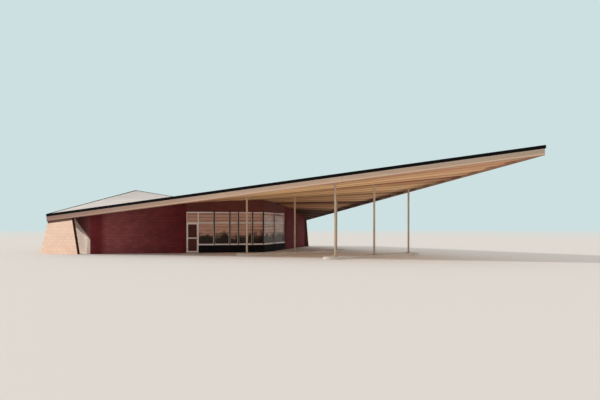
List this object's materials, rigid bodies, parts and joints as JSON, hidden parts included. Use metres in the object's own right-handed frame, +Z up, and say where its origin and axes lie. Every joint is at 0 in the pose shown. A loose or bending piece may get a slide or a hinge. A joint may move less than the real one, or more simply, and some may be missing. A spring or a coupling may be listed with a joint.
{
  "type": "filling station building with a swept saddle roof",
  "caption": "Low block building with a glazed V-shaped front under a long saddle roof that sweeps up to a pointed tip on slim posts over kerbed islands.",
  "frame": {"origin": "ground level on the centre line, below the line through the two low roof corners", "axes": "+Z up, -Y from the building towards the raised tip of the roof, +X to the right seen from the tip"},
  "size_m": [25.6086, 39.5959, 6.1561],
  "materials": {
    "shaded_block": "dark red-brown concrete block with raked joints",
    "pale_block": "pinkish cream concrete block with tooled joints",
    "dark_panel": "dark brown matt panel",
    "black_panel": "near-black matt panel",
    "white_frame": "white painted aluminium",
    "clear_glass": "clear plate glass",
    "door_metal": "satin metal",
    "roof_felt": "pale grey-white roofing",
    "ceiling_paint": "warm tan paint on ribbed sheet",
    "edge_paint": "pinkish tan paint",
    "black_cap": "black painted metal",
    "post_paint": "cream painted steel",
    "concrete": "pale cast concrete"
  },
  "bodies": {
    "building": {"floor_slab": "concrete", "front_wall_left": "shaded_block", "front_wall_right": "shaded_block", "side_wall_left": "pale_block", "side_wall_right": "pale_block", "rear_wall_left": "pale_block", "rear_wall_right": "pale_block", "pier_left": "pale_block", "pier_right": "pale_block", "header_left": "dark_panel", "header_right": "dark_panel", "bulkhead_left": "black_panel", "bulkhead_right": "black_panel", "window_sill_left": "white_frame", "window_sill_right": "white_frame", "window_frame_left": "white_frame", "window_frame_right": "white_frame", "window_glass_left": "clear_glass", "window_glass_right": "clear_glass", "door_frame": "white_frame", "hinge_plates": "door_metal", "roof_deck": "roof_felt", "ceiling_sheet": "ceiling_paint", "edge_board_front_left": "edge_paint", "edge_board_front_right": "edge_paint", "edge_board_rear_left": "edge_paint", "edge_board_rear_right": "edge_paint", "edge_cap_front_left": "black_cap", "edge_cap_front_right": "black_cap", "edge_cap_rear_left": "black_cap", "edge_cap_rear_right": "black_cap", "post_rear_left": "post_paint", "post_rear_centre": "post_paint", "post_rear_right": "post_paint", "post_front_left": "post_paint", "post_front_centre": "post_paint", "post_front_right": "post_paint", "island_rear": "concrete", "island_front": "concrete"},
    "door": {"door_leaf": "white_frame", "door_glass": "clear_glass", "door_pulls": "door_metal", "door_hinges": "door_metal"}
  },
  "joints": [
    {"name": "door_swing", "type": "hinge", "parent": "building", "child": "door", "pos_m": [-4.92391, -6.01446, 1.1], "axis": [0, 0, -1], "range_deg": [0, 100]}
  ]
}
